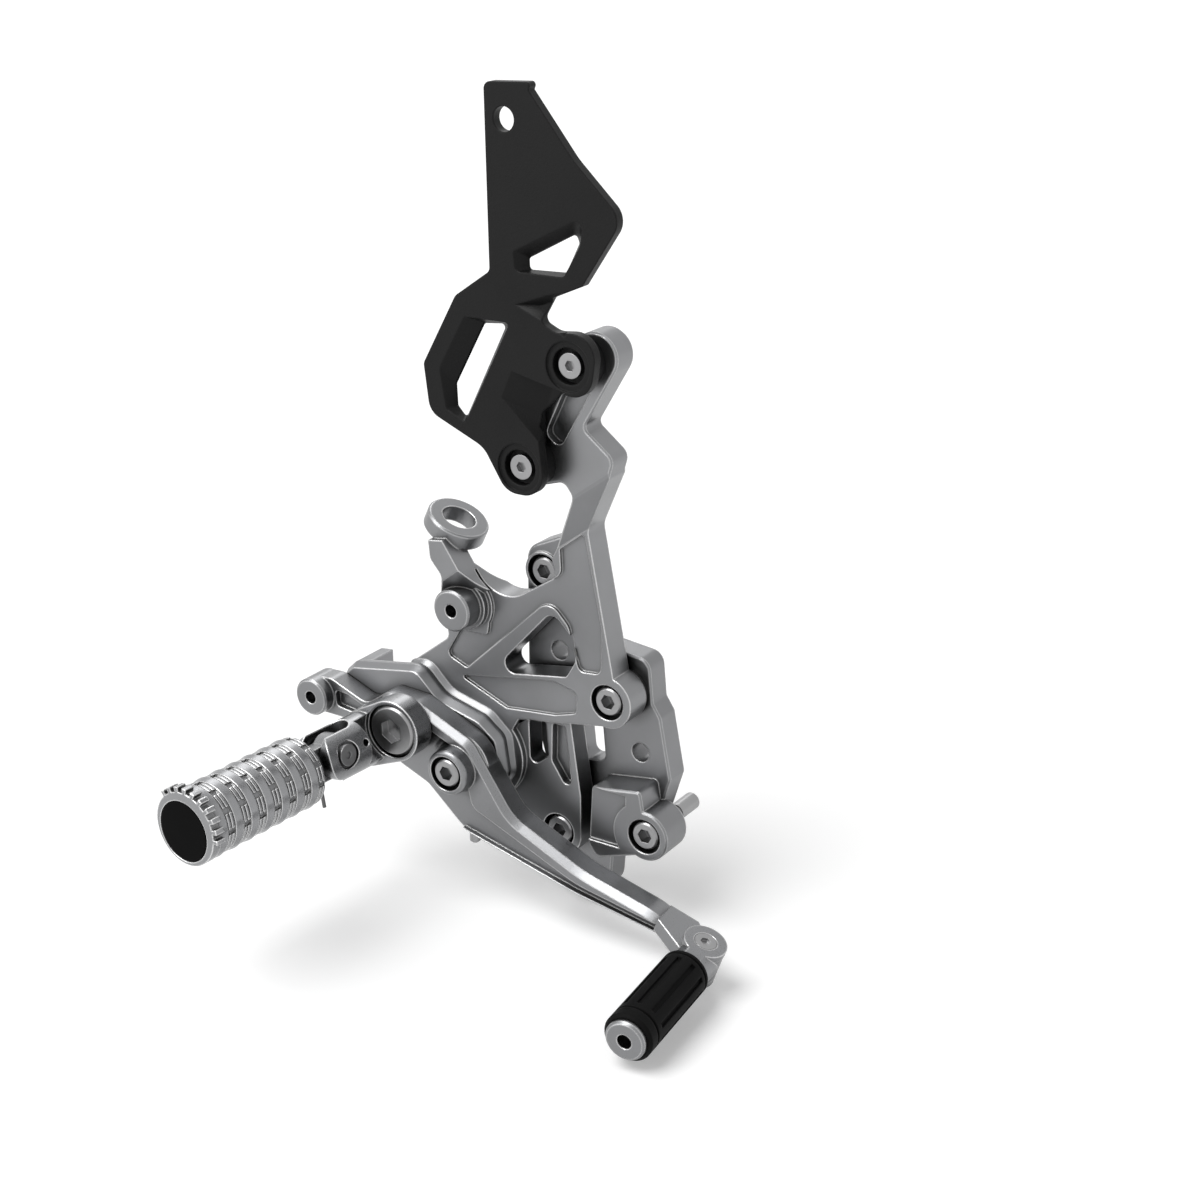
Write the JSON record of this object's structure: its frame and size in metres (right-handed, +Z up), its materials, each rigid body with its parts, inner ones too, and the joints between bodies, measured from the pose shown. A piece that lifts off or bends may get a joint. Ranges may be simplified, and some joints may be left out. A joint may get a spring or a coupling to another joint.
{
  "type": "motorcycle rearset footpeg assembly",
  "caption": "Right-hand rearset: toothed folding footpeg, brake lever with folding toe peg, milled bracket and frame plate, black heel guard.",
  "frame": {"origin": "where the brake lever's pivot axis crosses the plane of the mounting face, against the bike's frame", "axes": "+X forward on the bike, +Z up, -Y outboard on the bike's right side"},
  "size_m": [0.233, 0.1845, 0.3669],
  "materials": {
    "bracket_aluminium": "satin bead-blasted and milled",
    "plate_aluminium": "satin bead-blasted and milled",
    "lever_aluminium": "satin milled",
    "peg_aluminium": "bright milled and toothed",
    "guard_black": "fine-grained matt",
    "cap_black": "satin",
    "rubber_black": "matt moulded",
    "bolt_steel": "satin",
    "bush_brass": "turned",
    "spring_steel": "drawn wire"
  },
  "bodies": {
    "bracket": {"frame_plate": "plate_aluminium", "main_bracket": "bracket_aluminium", "peg_carrier": "bracket_aluminium", "peg_mount": "bracket_aluminium", "peg_bolt": "bolt_steel", "peg_hinge_pin": "bolt_steel", "footpeg_spring": "spring_steel", "pivot_bush": "bush_brass", "pivot_washer": "bolt_steel", "pivot_bolt": "bolt_steel", "pivot_nut": "bolt_steel", "bracket_bolts": "bolt_steel", "frame_bolts": "bolt_steel", "heel_guard": "guard_black", "guard_screws": "bolt_steel"},
    "lever": {"brake_lever": "lever_aluminium", "lever_stop_screw": "bolt_steel"},
    "footpeg": {"footpeg": "peg_aluminium", "footpeg_end_cap": "cap_black"},
    "toe_peg": {"toe_peg": "lever_aluminium", "toe_peg_rubber": "rubber_black", "toe_peg_end_cap": "lever_aluminium", "toe_hinge_bolt": "bolt_steel", "toe_hinge_washer": "bolt_steel", "toe_hinge_nut": "bolt_steel", "toe_peg_spring": "spring_steel"}
  },
  "joints": [
    {"name": "lever_pivot", "type": "hinge", "parent": "bracket", "child": "lever", "pos_m": [0, -0.0435, 0], "axis": [0, 1, 0], "range_deg": [0, 8], "stiffness_Nm_per_rad": 2, "springref_deg": -8.59},
    {"name": "footpeg_fold", "type": "hinge", "parent": "bracket", "child": "footpeg", "pos_m": [-0.04328, -0.08298, 0.01018], "axis": [-0.9828, 0.0636, -0.1736], "range_deg": [0, 90], "stiffness_Nm_per_rad": 0.1, "springref_deg": -34.38, "deforming": ["footpeg_spring"]},
    {"name": "toe_peg_fold", "type": "hinge", "parent": "lever", "child": "toe_peg", "pos_m": [0.1295, -0.056, -0.0505], "axis": [-0.342, 0, -0.9397], "range_deg": [0, 45], "stiffness_Nm_per_rad": 0.03, "springref_deg": -34.38, "deforming": ["toe_peg_spring"]}
  ]
}
